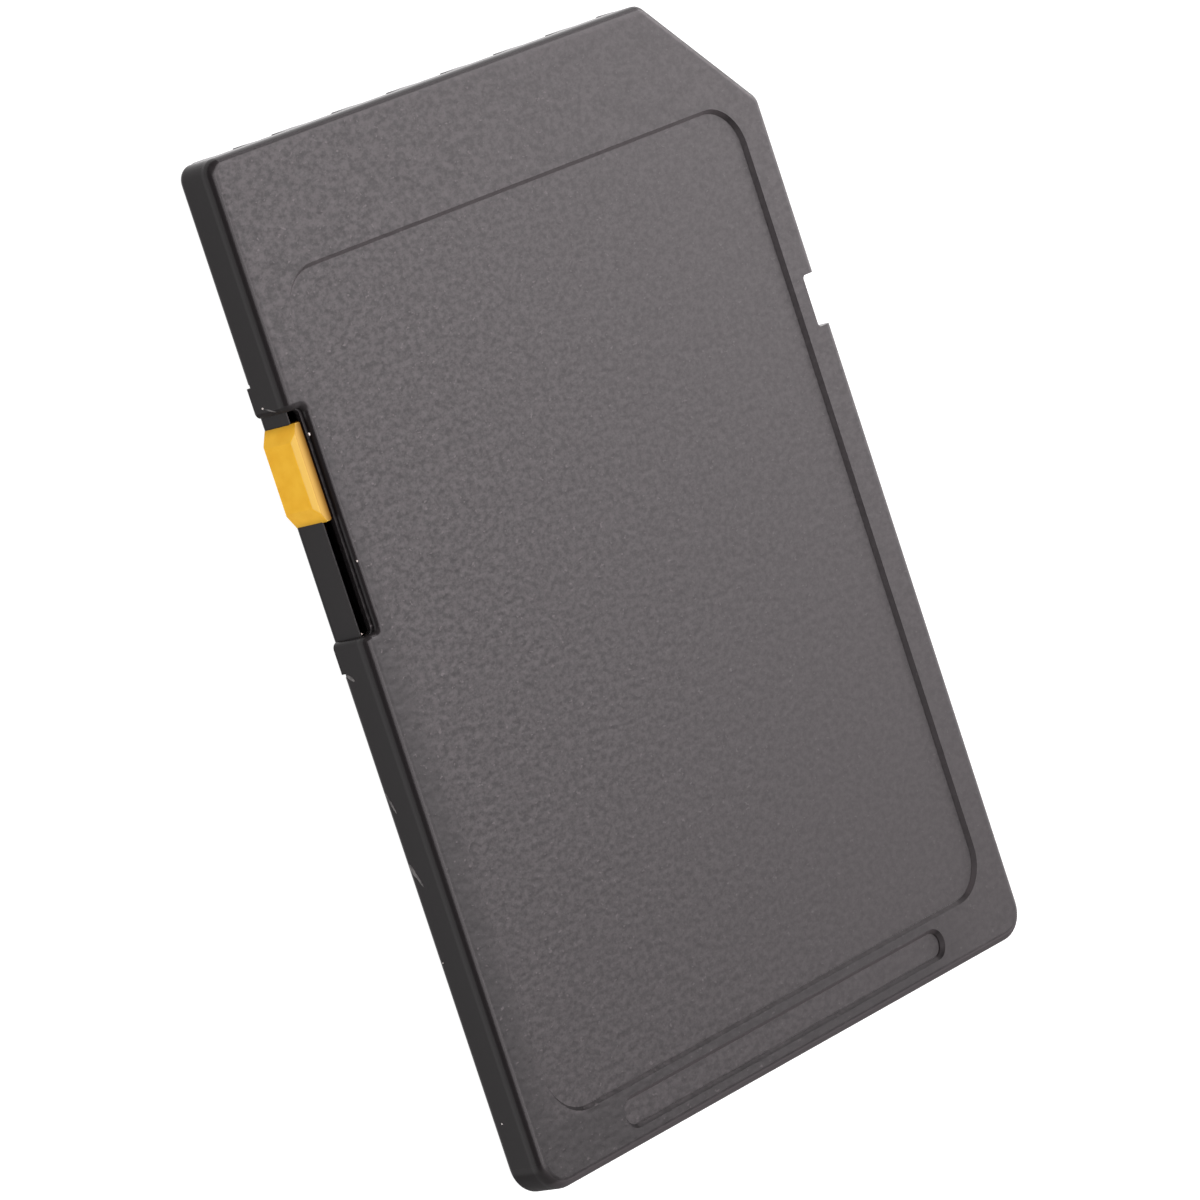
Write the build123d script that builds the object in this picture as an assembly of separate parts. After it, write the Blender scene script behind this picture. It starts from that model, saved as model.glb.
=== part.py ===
from build123d import *
import os
from math import sqrt

# Full-size memory card in millimetres: two moulded covers, a write-protect switch and the board inside.
# X runs across the card, +Y points to the contact end and +Z comes up out of the label side.
# The origin is the middle of the card, on the face that the contacts open through and that the card lies on.
# Setbacks are measured from the contact end, and insets from the nearest side.

# Card envelope
CARD_WIDTH = 24.0
CARD_LENGTH = 32.0
CARD_THICKNESS = 2.1
CORNER_CUT = 4.0
FRONT_CORNER_RADIUS = 0.5
CUT_CORNER_RADIUS = 0.5
REAR_CORNER_RADIUS = 1.0

# Guide rails along both sides, and the narrower body below them
RAIL_THICKNESS = 1.4
RAIL_OVERHANG = 0.75
RAIL_EDGE_RADIUS = 0.2
BODY_EDGE_RADIUS = 0.15
LEAD_IN_LENGTH = 0.5
LEAD_IN_HEIGHT = 0.35

# Moulded walls of the two covers
COVER_THICKNESS = 0.4
COVER_EDGE_RADIUS = 0.3
SIDE_WALL = 1.1
CAVITY_CORNER_RADIUS = 0.5
FLOOR_THICKNESS = 0.3
BOARD_LEDGE = 0.5
WINDOW_BACK_WALL = 0.8
LIP_WIDTH = 0.35
LIP_HEIGHT = 0.3
LIP_GAP = 0.05

# Recesses in the label face
LABEL_FRONT_MARGIN = 3.93
LABEL_REAR_MARGIN = 1.93
LABEL_SIDE_MARGIN = 1.4
LABEL_CORNER_RADIUS = 1.35
LABEL_DEPTH = 0.13
GRIP_LENGTH = 15.75
GRIP_WIDTH = 0.77
GRIP_REAR_MARGIN = 0.66
GRIP_DEPTH = 0.15
RECESS_EDGE_SLOPE = 0.12

# Latch notch in the side opposite the switch
NOTCH_SETBACK = 9.8
NOTCH_WIDTH = 1.7
NOTCH_DEPTH = 0.69
NOTCH_CORNER_RADIUS = 0.12

# Bay that the switch slides in
BAY_SETBACK = 7.64
BAY_LENGTH = 6.91
BAY_CUT_DEPTH = 0.68
BAY_LEDGE_WIDTH = 0.1
BAY_LEDGE_DROP = 0.24
BAY_CUT_EDGE_RADIUS = 0.2
BAY_CUT_CORNER_RADIUS = 0.18
BAY_MOUTH_RADIUS = 0.2
BAY_INNER_WALL = 0.35
BAY_END_WALL = 0.5
GUIDE_INSET = 0.25
GUIDE_THICKNESS = 0.22
GUIDE_LAND = 0.05
GUIDE_CHAMFER = 0.26
GUIDE_TOP_DROP = 0.03
CHANNEL_FLOOR = 0.3
CHANNEL_WIDTH = 0.62
STOP_PAD_LENGTH = 0.95
STOP_NICK_WIDTH = 0.1
STOP_NICK_DEPTH = 0.14

# Write-protect switch
SWITCH_LENGTH = 3.02
SWITCH_PROUD = 0.08
SWITCH_HANG = 0.06
SWITCH_TOP_DROP = 0.15
SWITCH_TOP_WIDTH = 0.41
SWITCH_BEVEL_WIDTH = 0.15
SWITCH_BEVEL_HEIGHT = 0.15
SWITCH_END_TAPER_WIDTH = 0.3
SWITCH_END_TAPER_LENGTH = 0.5
SWITCH_EDGE_RADIUS = 0.06
SWITCH_BACK_RADIUS = 0.2
STOP_FOOT_REACH = 0.32
STOP_FOOT_WIDTH = 0.3
STOP_FOOT_HEIGHT = 0.12
SLIDE_GAP = 0.04
STOP_GAP = 0.05

# Row of contacts, in windows that are open at the contact end
CONTACT_DEPTH = 0.7
CONTACT_ROW_START = 2.625
CONTACT_ROW_END = 2.25
FULL_PITCHES = 7
LAST_PITCH = 1.7
SEVENTH_SHIFT = 0.075
PAD_WIDTH = 1.6
NARROW_PAD_WIDTH = 1.1
PAD_LENGTH = 5.4
PAD_SETBACK = 1.5
PAD_THICKNESS = 0.05
PAD_CORNER_RADIUS = 0.25
PAD_EDGE_MARGIN = 0.18
WINDOW_MARGIN = 0.1
WINDOW_LENGTH = 7.5
WINDOW_BACK_SLOPE = 0.3
NOSE_RAMP_LENGTH = 0.45
NOSE_RAMP_HEIGHT = 0.25

# Circuit board and the posts that hold it down
BOARD_THICKNESS = 0.35
BOARD_GAP = 0.05
POST_SIDE = 1.1
POST_REAR_INSET = 3.0
POST_FRONT_SETBACK = 2.8
POST_FRONT_INSET = 5.0

# Chips and passives on the board's upper side
CHIP_EDGE_CHAMFER = 0.06
PIN_MARK_DIAMETER = 0.8
PIN_MARK_INSET = 1.1
PIN_MARK_DEPTH = 0.05
MEMORY_WIDTH = 12.0
MEMORY_REAR_MARGIN = 3.0
MEMORY_STANDOFF = 0.05
MEMORY_HEADROOM = 0.05
LEADS_PER_SIDE = 24
LEAD_PITCH = 0.5
LEAD_WIDTH = 0.22
LEAD_METAL = 0.1
LEAD_SHOULDER = 0.2
LEAD_REACH = 0.8
LEAD_FOOT = 0.36
CONTROLLER_SIDE = 7.0
CONTROLLER_SETBACK = 4.3
CONTROLLER_X = 1.5
CONTROLLER_HEADROOM = 0.1
RESISTOR_ROW_WIDTH = 1.5
RESISTOR_PITCH = 1.1
RESISTOR_HEADROOM = 0.25
CAPACITOR_PITCH = 1.8
CAPACITOR_CLEARANCE = 0.7
CAPACITOR_HEADROOM = 0.12
PASSIVE_LENGTH = 1.0
PASSIVE_WIDTH = 0.5
PASSIVE_TERMINAL = 0.22
PASSIVE_PLATING = 0.02
PASSIVE_COUNT = 4

# How far a cutting shape runs past the face that it cuts
CUT_MARGIN = 1.0

# Heights and places that follow from the sizes above
HALF_WIDTH = CARD_WIDTH / 2
HALF_LENGTH = CARD_LENGTH / 2
RAIL_Z = CARD_THICKNESS - RAIL_THICKNESS
SEAM_Z = CARD_THICKNESS - COVER_THICKNESS
BOARD_Z = CONTACT_DEPTH + PAD_THICKNESS
BOARD_TOP_Z = BOARD_Z + BOARD_THICKNESS
WINDOW_BACK_Y = HALF_LENGTH - WINDOW_LENGTH
BAY_HIGH_Y = HALF_LENGTH - BAY_SETBACK
BAY_LOW_Y = BAY_HIGH_Y - BAY_LENGTH
BAY_CUT_X = BAY_CUT_DEPTH - HALF_WIDTH
BAY_LEDGE_X = BAY_CUT_X - BAY_LEDGE_WIDTH
GUIDE_OUTER_X = GUIDE_INSET - HALF_WIDTH
GUIDE_INNER_X = GUIDE_OUTER_X + GUIDE_THICKNESS
GUIDE_TOP_Z = SEAM_Z - GUIDE_TOP_DROP
CHANNEL_FLOOR_Z = RAIL_Z + CHANNEL_FLOOR
CHANNEL_WALL_X = GUIDE_INNER_X + CHANNEL_WIDTH
CONTROLLER_REAR_Y = HALF_LENGTH - CONTROLLER_SETBACK - CONTROLLER_SIDE
MEMORY_REAR_Y = MEMORY_REAR_MARGIN - HALF_LENGTH
MEMORY_FRONT_Y = CONTROLLER_REAR_Y - RESISTOR_ROW_WIDTH - LEAD_REACH
MEMORY_LOW_Z = BOARD_TOP_Z + MEMORY_STANDOFF
MEMORY_HIGH_Z = SEAM_Z - MEMORY_HEADROOM


def block(low, high):
    """Box between two opposite corners."""
    size = [b - a for a, b in zip(low, high)]
    return Pos(*low) * Box(*size, align=(Align.MIN, Align.MIN, Align.MIN))


def prism(outline, low, high):
    """Flat outline raised between two heights."""
    return extrude(Pos(0, 0, low) * outline, amount=high - low, dir=(0, 0, 1))


def along_y(section, low, high, radii=None):
    """Section drawn as (x, z) points, with radii for rounded corners, carried between two values of y."""
    line = FilletPolyline(*section, radius=radii, close=True) if radii else Polyline(*section, close=True)
    face = Plane.XZ * make_face(line)
    return extrude(Pos(0, low, 0) * face, amount=high - low, dir=(0, 1, 0))


def along_x(section, low, high):
    """Section drawn as (y, z) points, carried between two values of x."""
    face = Plane.YZ * make_face(Polyline(*section, close=True))
    return extrude(Pos(low, 0, 0) * face, amount=high - low, dir=(1, 0, 0))


def bottom_edges(solid):
    """Edges round the lowest face of a solid."""
    return solid.faces().sort_by(Axis.Z)[0].edges()


def top_edges(solid):
    """Edges round the highest face of a solid."""
    return solid.faces().sort_by(Axis.Z)[-1].edges()


def rim_edges(solid):
    """Edges round the openings in the highest face of a solid."""
    top = solid.faces().sort_by(Axis.Z)[-1]
    return top.edges() - top.outer_wire().edges()


def cut_line_sum(inset):
    """Value of x + y along the cut corner, moved inwards by an inset."""
    return HALF_WIDTH + HALF_LENGTH - CORNER_CUT - inset * sqrt(2)


def corner_cut_outline(half_width, half_length, cut_sum, radii):
    """Card-shaped outline; radii run from the rear left corner anticlockwise."""
    corners = [
        (-half_width, -half_length),
        (half_width, -half_length),
        (half_width, cut_sum - half_width),
        (cut_sum - half_length, half_length),
        (-half_width, half_length),
    ]
    return make_face(FilletPolyline(*corners, radius=radii, close=True))


def card_outline():
    """Outline of the card seen from the label side."""
    radii = [
        REAR_CORNER_RADIUS,
        REAR_CORNER_RADIUS,
        CUT_CORNER_RADIUS,
        CUT_CORNER_RADIUS,
        FRONT_CORNER_RADIUS,
    ]
    return corner_cut_outline(HALF_WIDTH, HALF_LENGTH, cut_line_sum(0), radii)


def body_outline():
    """Outline of the body below the rails, narrower than the card by one overhang on each side."""
    radii = [REAR_CORNER_RADIUS, REAR_CORNER_RADIUS, 0, 0, FRONT_CORNER_RADIUS]
    return corner_cut_outline(HALF_WIDTH - RAIL_OVERHANG, HALF_LENGTH, cut_line_sum(0), radii)


def inner_outline(inset):
    """Outline inside the card, a constant inset from every side."""
    radii = [CAVITY_CORNER_RADIUS] * 5
    return corner_cut_outline(HALF_WIDTH - inset, HALF_LENGTH - inset, cut_line_sum(inset), radii)


def latch_notch():
    """Cutting shape of the notch that a host's latch drops into, through the rail and the cover."""
    floor_x = HALF_WIDTH - NOTCH_DEPTH
    far_x = HALF_WIDTH + CUT_MARGIN
    high_y = HALF_LENGTH - NOTCH_SETBACK
    low_y = high_y - NOTCH_WIDTH
    corners = [(floor_x, low_y), (far_x, low_y), (far_x, high_y), (floor_x, high_y)]
    radii = [NOTCH_CORNER_RADIUS, 0, 0, NOTCH_CORNER_RADIUS]
    outline = make_face(FilletPolyline(*corners, radius=radii, close=True))
    return prism(outline, -CUT_MARGIN, CARD_THICKNESS + CUT_MARGIN)


def bay_core(gap):
    """Block that holds the switch bay and its walls, grown by a gap for what passes round it."""
    low = (-HALF_WIDTH - CUT_MARGIN, BAY_LOW_Y - BAY_END_WALL - gap, -CUT_MARGIN)
    high = (
        CHANNEL_WALL_X + BAY_INNER_WALL + gap,
        BAY_HIGH_Y + BAY_END_WALL + gap,
        CARD_THICKNESS + CUT_MARGIN,
    )
    return block(low, high)


def bay_cut():
    """Cutting shape of the bay in the lower shell: it leaves the guide wall that the switch straddles."""
    outside_x = -HALF_WIDTH - CUT_MARGIN
    above_z = SEAM_Z + CUT_MARGIN
    section = [
        (outside_x, 0),
        (GUIDE_OUTER_X, 0),
        (GUIDE_OUTER_X, GUIDE_TOP_Z),
        (GUIDE_OUTER_X + GUIDE_LAND, GUIDE_TOP_Z),
        (GUIDE_INNER_X, GUIDE_TOP_Z - GUIDE_CHAMFER),
        (GUIDE_INNER_X, CHANNEL_FLOOR_Z),
        (CHANNEL_WALL_X, CHANNEL_FLOOR_Z),
        (CHANNEL_WALL_X, above_z),
        (outside_x, above_z),
    ]
    return along_y(section, BAY_LOW_Y, BAY_HIGH_Y)


def bay_opening(inner_x, low, high):
    """Cutting shape of the switch opening as far in as one value of x, with rounded inner corners."""
    outside_x = -HALF_WIDTH - CUT_MARGIN
    corners = [
        (outside_x, BAY_LOW_Y),
        (inner_x, BAY_LOW_Y),
        (inner_x, BAY_HIGH_Y),
        (outside_x, BAY_HIGH_Y),
    ]
    radii = [0, BAY_CUT_CORNER_RADIUS, BAY_CUT_CORNER_RADIUS, 0]
    outline = make_face(FilletPolyline(*corners, radius=radii, close=True))
    return prism(outline, low, high)


def bay_cover_cut():
    """Cutting shape of the switch opening in the label side cover, which leaves a ledge beside the switch."""
    above_z = CARD_THICKNESS + CUT_MARGIN
    through = bay_opening(BAY_LEDGE_X, SEAM_Z - CUT_MARGIN, above_z)
    return through + bay_opening(BAY_CUT_X, CARD_THICKNESS - BAY_LEDGE_DROP, above_z)


def bay_rim_edges(cover):
    """Edges of the label face along the inner side of the switch opening."""
    rim = []
    for edge in top_edges(cover):
        if edge.bounding_box().max.X <= BAY_CUT_X + BAY_CUT_EDGE_RADIUS:
            if edge.center().X > BAY_CUT_X - BAY_CUT_CORNER_RADIUS:
                rim.append(edge)
    return rim


def bay_mouth():
    """Cutting shapes that round the ends of the side wall, where it opens into the bay."""
    radius = BAY_MOUTH_RADIUS
    rounding = Cylinder(radius, CARD_THICKNESS, align=(Align.CENTER, Align.CENTER, Align.MIN))
    cuts = []
    for end_y, direction in ((BAY_LOW_Y, -1), (BAY_HIGH_Y, 1)):
        far_y = end_y + direction * radius
        low = (-HALF_WIDTH, min(end_y, far_y), 0)
        corner = block(low, (radius - HALF_WIDTH, max(end_y, far_y), CARD_THICKNESS))
        cuts.append(corner - Pos(radius - HALF_WIDTH, far_y, 0) * rounding)
    return cuts


def contact_places():
    """Contact number to (x of its centre, width of its pad), from the cut corner to the switch side."""
    span = CARD_WIDTH - CONTACT_ROW_START - CONTACT_ROW_END - LAST_PITCH + SEVENTH_SHIFT
    pitch = span / FULL_PITCHES
    first_x = HALF_WIDTH - CONTACT_ROW_START
    places = {9: (first_x, PAD_WIDTH)}
    for number in range(1, FULL_PITCHES):
        places[number] = (first_x - number * pitch, PAD_WIDTH)
    seventh_x = first_x - span + SEVENTH_SHIFT
    places[FULL_PITCHES] = (seventh_x, NARROW_PAD_WIDTH)
    places[FULL_PITCHES + 1] = (seventh_x - LAST_PITCH, NARROW_PAD_WIDTH)
    return places


def contact_window(x, pad_width):
    """Cutting shape of one contact window, with a sloped back and a ramp under the card's nose."""
    half = pad_width / 2 + WINDOW_MARGIN
    past_y = HALF_LENGTH + CUT_MARGIN
    slope = WINDOW_BACK_SLOPE / BOARD_Z
    section = [
        (WINDOW_BACK_Y, BOARD_Z),
        (WINDOW_BACK_Y - WINDOW_BACK_SLOPE - slope * CUT_MARGIN, -CUT_MARGIN),
        (past_y, -CUT_MARGIN),
        (past_y, BOARD_Z + NOSE_RAMP_HEIGHT),
        (HALF_LENGTH, BOARD_Z + NOSE_RAMP_HEIGHT),
        (HALF_LENGTH - NOSE_RAMP_LENGTH, BOARD_Z),
    ]
    return along_x(section, x - half, x + half)


def lead_in():
    """Cutting wedge along the lower front edge, drawn on the X axis and pointing to +Y."""
    section = [
        (-LEAD_IN_LENGTH, 0),
        (-LEAD_IN_LENGTH, -CUT_MARGIN),
        (CUT_MARGIN, -CUT_MARGIN),
        (CUT_MARGIN, LEAD_IN_HEIGHT * (1 + CUT_MARGIN / LEAD_IN_LENGTH)),
    ]
    return along_x(section, -HALF_WIDTH, HALF_WIDTH)


def board_room():
    """Cutting shape of the hollow for the board, above the ledge and the ribs, and the room below it."""
    upper = prism(inner_outline(SIDE_WALL), BOARD_Z, SEAM_Z + CUT_MARGIN)
    half_x = HALF_WIDTH - SIDE_WALL - BOARD_LEDGE
    low_y = SIDE_WALL + BOARD_LEDGE - HALF_LENGTH
    high_y = WINDOW_BACK_Y - WINDOW_BACK_WALL
    size = (2 * half_x, high_y - low_y)
    floor = Pos(0, (low_y + high_y) / 2) * RectangleRounded(*size, CAVITY_CORNER_RADIUS)
    return upper + prism(floor, FLOOR_THICKNESS, BOARD_TOP_Z) - bay_core(0)


def stop_pad(near_y, direction):
    """Square-edged pad on the rail's lower edge at one end of the bay, and the nick beyond it."""
    far_y = near_y + direction * STOP_PAD_LENGTH
    end_y = far_y + direction * STOP_NICK_WIDTH
    edge = 2 * RAIL_EDGE_RADIUS
    pad = block(
        (-HALF_WIDTH, min(near_y, far_y), RAIL_Z),
        (edge - HALF_WIDTH, max(near_y, far_y), RAIL_Z + edge),
    )
    nick = block(
        (-HALF_WIDTH - CUT_MARGIN, min(far_y, end_y), RAIL_Z - CUT_MARGIN),
        (STOP_NICK_DEPTH - HALF_WIDTH, max(far_y, end_y), RAIL_Z + STOP_NICK_DEPTH),
    )
    return pad, nick


def label_side_cover():
    """Upper cover: label and grip recesses outside, a locating lip and posts that hold the board inside."""
    cover = prism(card_outline(), SEAM_Z, CARD_THICKNESS)
    cover = fillet(top_edges(cover), COVER_EDGE_RADIUS)
    label_size = (
        CARD_WIDTH - 2 * LABEL_SIDE_MARGIN,
        CARD_LENGTH - LABEL_FRONT_MARGIN - LABEL_REAR_MARGIN,
    )
    label_y = (LABEL_REAR_MARGIN - LABEL_FRONT_MARGIN) / 2
    label = Pos(0, label_y) * RectangleRounded(*label_size, LABEL_CORNER_RADIUS)
    cover -= prism(label, CARD_THICKNESS - LABEL_DEPTH, CARD_THICKNESS + CUT_MARGIN)
    grip_y = GRIP_REAR_MARGIN + GRIP_WIDTH / 2 - HALF_LENGTH
    grip = Pos(0, grip_y) * SlotOverall(GRIP_LENGTH, GRIP_WIDTH)
    cover -= prism(grip, CARD_THICKNESS - GRIP_DEPTH, CARD_THICKNESS + CUT_MARGIN)
    cover = chamfer(rim_edges(cover), RECESS_EDGE_SLOPE)
    cover -= latch_notch()
    cover -= bay_cover_cut()
    cover = fillet(bay_rim_edges(cover), BAY_CUT_EDGE_RADIUS)
    cover -= bay_mouth()
    lip = prism(inner_outline(SIDE_WALL + LIP_GAP), SEAM_Z - LIP_HEIGHT, SEAM_Z)
    lip -= prism(inner_outline(SIDE_WALL + LIP_GAP + LIP_WIDTH), SEAM_Z - LIP_HEIGHT, SEAM_Z)
    cover += lip - bay_core(LIP_GAP)
    post = Box(POST_SIDE, POST_SIDE, SEAM_Z - BOARD_TOP_Z, align=(Align.CENTER, Align.CENTER, Align.MIN))
    rear_x = HALF_WIDTH - POST_REAR_INSET
    front_x = HALF_WIDTH - POST_FRONT_INSET
    rear_y = POST_REAR_INSET - HALF_LENGTH
    front_y = HALF_LENGTH - POST_FRONT_SETBACK
    for x, y in ((rear_x, rear_y), (-rear_x, rear_y), (front_x, front_y), (-front_x, front_y)):
        cover += Pos(x, y, BOARD_TOP_Z) * post
    return cover


def contact_side_cover():
    """Lower shell: guide rails, the body below them, contact ribs, the switch bay and the board's ledge."""
    rails = prism(card_outline(), RAIL_Z, SEAM_Z)
    rails = fillet(bottom_edges(rails), RAIL_EDGE_RADIUS)
    body = prism(body_outline(), 0, RAIL_Z + RAIL_EDGE_RADIUS)
    body = fillet(bottom_edges(body), BODY_EDGE_RADIUS)
    shell = rails + body
    for near_y, direction in ((BAY_LOW_Y, -1), (BAY_HIGH_Y, 1)):
        pad, nick = stop_pad(near_y, direction)
        shell += pad
        shell -= nick
    cut_y = HALF_LENGTH - CORNER_CUT / 2
    shell -= Pos(0, HALF_LENGTH, 0) * lead_in()
    shell -= Pos(cut_line_sum(0) - cut_y, cut_y, 0) * Rot(0, 0, -45) * lead_in()
    shell -= board_room()
    shell -= bay_cut()
    shell -= bay_mouth()
    shell -= latch_notch()
    for x, pad_width in contact_places().values():
        shell -= contact_window(x, pad_width)
    return shell


def touched_edges(slider, leg_inner_x, bridge_z):
    """Edges of the slider that a finger meets: those outside its leg and at the ends of its bridge."""
    touched = []
    for edge in slider.edges():
        box = edge.bounding_box()
        bridge_end = box.min.Z > bridge_z + SLIDE_GAP and box.size.Y < SLIDE_GAP
        if bridge_end or box.max.X < leg_inner_x - SLIDE_GAP / 2:
            touched.append(edge)
    return touched


def write_protect_switch():
    """Slider at the unlocked end: an outer leg, a bridge over the guide wall, and a flange with stop feet."""
    outer_x = -HALF_WIDTH - SWITCH_PROUD
    low_z = RAIL_Z - SWITCH_HANG
    top_z = CARD_THICKNESS - SWITCH_TOP_DROP
    bevel_x = outer_x + SWITCH_BEVEL_WIDTH
    back_x = bevel_x + SWITCH_TOP_WIDTH
    leg_inner_x = GUIDE_OUTER_X - SLIDE_GAP
    bridge_z = GUIDE_TOP_Z + SLIDE_GAP
    flange_outer_x = GUIDE_INNER_X + SLIDE_GAP
    flange_inner_x = CHANNEL_WALL_X - SLIDE_GAP
    flange_low_z = CHANNEL_FLOOR_Z + SLIDE_GAP
    flange_top_z = SEAM_Z - SLIDE_GAP
    section = [
        (outer_x, low_z),
        (outer_x, top_z - SWITCH_BEVEL_HEIGHT),
        (bevel_x, top_z),
        (back_x, top_z),
        (BAY_LEDGE_X - SLIDE_GAP, flange_top_z),
        (flange_inner_x, flange_top_z),
        (flange_inner_x, flange_low_z),
        (flange_outer_x, flange_low_z),
        (flange_outer_x, GUIDE_TOP_Z - GUIDE_CHAMFER + SLIDE_GAP),
        (GUIDE_OUTER_X + GUIDE_LAND + SLIDE_GAP, bridge_z),
        (leg_inner_x, bridge_z),
        (leg_inner_x, low_z),
    ]
    foot_high_y = BAY_HIGH_Y - STOP_GAP
    high_y = foot_high_y - STOP_FOOT_REACH
    low_y = high_y - SWITCH_LENGTH
    radii = [SWITCH_BACK_RADIUS if point == (back_x, top_z) else 0 for point in section]
    slider = along_y(section, low_y, high_y, radii)
    for end_y, direction in ((low_y, 1), (high_y, -1)):
        taper = make_face(
            Polyline(
                (outer_x, end_y),
                (outer_x + SWITCH_END_TAPER_WIDTH, end_y),
                (outer_x, end_y + direction * SWITCH_END_TAPER_LENGTH),
                close=True,
            )
        )
        slider -= prism(taper, 0, CARD_THICKNESS)
    slider = fillet(touched_edges(slider, leg_inner_x, bridge_z), SWITCH_EDGE_RADIUS)
    foot_low = (flange_outer_x, low_y - STOP_FOOT_REACH, flange_low_z)
    foot_high = (flange_outer_x + STOP_FOOT_WIDTH, foot_high_y, flange_low_z + STOP_FOOT_HEIGHT)
    return slider + block(foot_low, foot_high)


def circuit_board():
    """Board on the shell's ledge and ribs, notched round the switch bay."""
    board = prism(inner_outline(SIDE_WALL + BOARD_GAP), BOARD_Z, BOARD_TOP_Z)
    return board - bay_core(BOARD_GAP)


def contact_pad(x, width):
    """One gold contact under the board, shortened where the cut corner takes the board away."""
    board_front_y = cut_line_sum(SIDE_WALL + BOARD_GAP) - x - width / 2
    front_y = min(HALF_LENGTH - PAD_SETBACK, board_front_y - PAD_EDGE_MARGIN)
    rear_y = HALF_LENGTH - PAD_SETBACK - PAD_LENGTH
    outline = RectangleRounded(width, front_y - rear_y, PAD_CORNER_RADIUS)
    return prism(Pos(x, (front_y + rear_y) / 2) * outline, CONTACT_DEPTH, BOARD_Z)


def chip_body(low, high):
    """Moulded chip package with bevelled upper edges."""
    return chamfer(top_edges(block(low, high)), CHIP_EDGE_CHAMFER)


def memory_chip():
    """Flat memory package at the rear of the board, held off it by its leads, marked at its first pin."""
    low = (-MEMORY_WIDTH / 2, MEMORY_REAR_Y, MEMORY_LOW_Z)
    high = (MEMORY_WIDTH / 2, MEMORY_FRONT_Y, MEMORY_HIGH_Z)
    mark = Cylinder(PIN_MARK_DIAMETER / 2, 2 * PIN_MARK_DEPTH)
    return chip_body(low, high) - Pos(low[0] + PIN_MARK_INSET, high[1] - PIN_MARK_INSET, high[2]) * mark


def memory_chip_leads():
    """Two rows of bent leads from the memory package's ends down to the board."""
    middle_z = (MEMORY_LOW_Z + MEMORY_HIGH_Z) / 2
    foot_y = LEAD_REACH - LEAD_FOOT
    section = [
        (0, middle_z + LEAD_METAL / 2),
        (LEAD_SHOULDER, middle_z + LEAD_METAL / 2),
        (foot_y, BOARD_TOP_Z + LEAD_METAL),
        (LEAD_REACH, BOARD_TOP_Z + LEAD_METAL),
        (LEAD_REACH, BOARD_TOP_Z),
        (foot_y - LEAD_METAL, BOARD_TOP_Z),
        (LEAD_SHOULDER - LEAD_METAL, middle_z - LEAD_METAL / 2),
        (0, middle_z - LEAD_METAL / 2),
    ]
    lead = along_x(section, -LEAD_WIDTH / 2, LEAD_WIDTH / 2)
    leads = []
    for index in range(LEADS_PER_SIDE):
        x = (index - (LEADS_PER_SIDE - 1) / 2) * LEAD_PITCH
        leads.append(Pos(x, MEMORY_FRONT_Y, 0) * lead)
        leads.append(Pos(x, MEMORY_REAR_Y, 0) * Rot(0, 0, 180) * lead)
    return Compound([solid for part in leads for solid in part.solids()])


def controller_chip():
    """Leadless controller package, soldered flat between the memory and the contacts."""
    low = (CONTROLLER_X - CONTROLLER_SIDE / 2, CONTROLLER_REAR_Y, BOARD_TOP_Z)
    high = (
        CONTROLLER_X + CONTROLLER_SIDE / 2,
        CONTROLLER_REAR_Y + CONTROLLER_SIDE,
        SEAM_Z - CONTROLLER_HEADROOM,
    )
    return chip_body(low, high)


def passive(x, y, headroom):
    """Two-terminal chip part lying along Y, with plated ends a little larger than its body."""
    high_z = SEAM_Z - headroom
    half_width = PASSIVE_WIDTH / 2
    half_length = PASSIVE_LENGTH / 2
    body_low = (x - half_width + PASSIVE_PLATING, y - half_length, BOARD_TOP_Z + PASSIVE_PLATING)
    body_high = (x + half_width - PASSIVE_PLATING, y + half_length, high_z - PASSIVE_PLATING)
    part = block(body_low, body_high)
    for near_y in (y - half_length, y + half_length - PASSIVE_TERMINAL):
        low = (x - half_width, near_y, BOARD_TOP_Z)
        part += block(low, (x + half_width, near_y + PASSIVE_TERMINAL, high_z))
    return part


def resistors():
    """Row of bus resistors between the memory's leads and the controller."""
    y = CONTROLLER_REAR_Y - RESISTOR_ROW_WIDTH / 2
    first_x = CONTROLLER_X - RESISTOR_PITCH * (PASSIVE_COUNT - 1) / 2
    places = [first_x + index * RESISTOR_PITCH for index in range(PASSIVE_COUNT)]
    return [passive(x, y, RESISTOR_HEADROOM) for x in places]


def capacitors():
    """Column of supply capacitors beside the controller."""
    x = CONTROLLER_X - CONTROLLER_SIDE / 2 - CAPACITOR_CLEARANCE - PASSIVE_WIDTH / 2
    middle_y = CONTROLLER_REAR_Y + CONTROLLER_SIDE / 2
    first_y = middle_y - CAPACITOR_PITCH * (PASSIVE_COUNT - 1) / 2
    places = [first_y + index * CAPACITOR_PITCH for index in range(PASSIVE_COUNT)]
    return [passive(x, y, CAPACITOR_HEADROOM) for y in places]


def all_nodes():
    """Every piece of the card by its node name."""
    nodes = {
        "label_side_cover": label_side_cover(),
        "contact_side_cover": contact_side_cover(),
        "write_protect_switch": write_protect_switch(),
        "circuit_board": circuit_board(),
        "memory_chip": memory_chip(),
        "memory_chip_leads": memory_chip_leads(),
        "controller_chip": controller_chip(),
    }
    for number, (x, width) in contact_places().items():
        nodes[f"contact_pad_{number}"] = contact_pad(x, width)
    for number, part in enumerate(resistors(), 1):
        nodes[f"resistor_{number}"] = part
    for number, part in enumerate(capacitors(), 1):
        nodes[f"capacitor_{number}"] = part
    return nodes


os.makedirs("parts", exist_ok=True)
for node_name, shape in all_nodes().items():
    export_step(shape, f"parts/{node_name}.step")
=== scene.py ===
import functools
import logging
import math
from collections.abc import Sequence
from dataclasses import dataclass, field
from enum import Enum

import bmesh
import bpy
import numpy as np
from mathutils import Matrix, Vector


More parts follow.
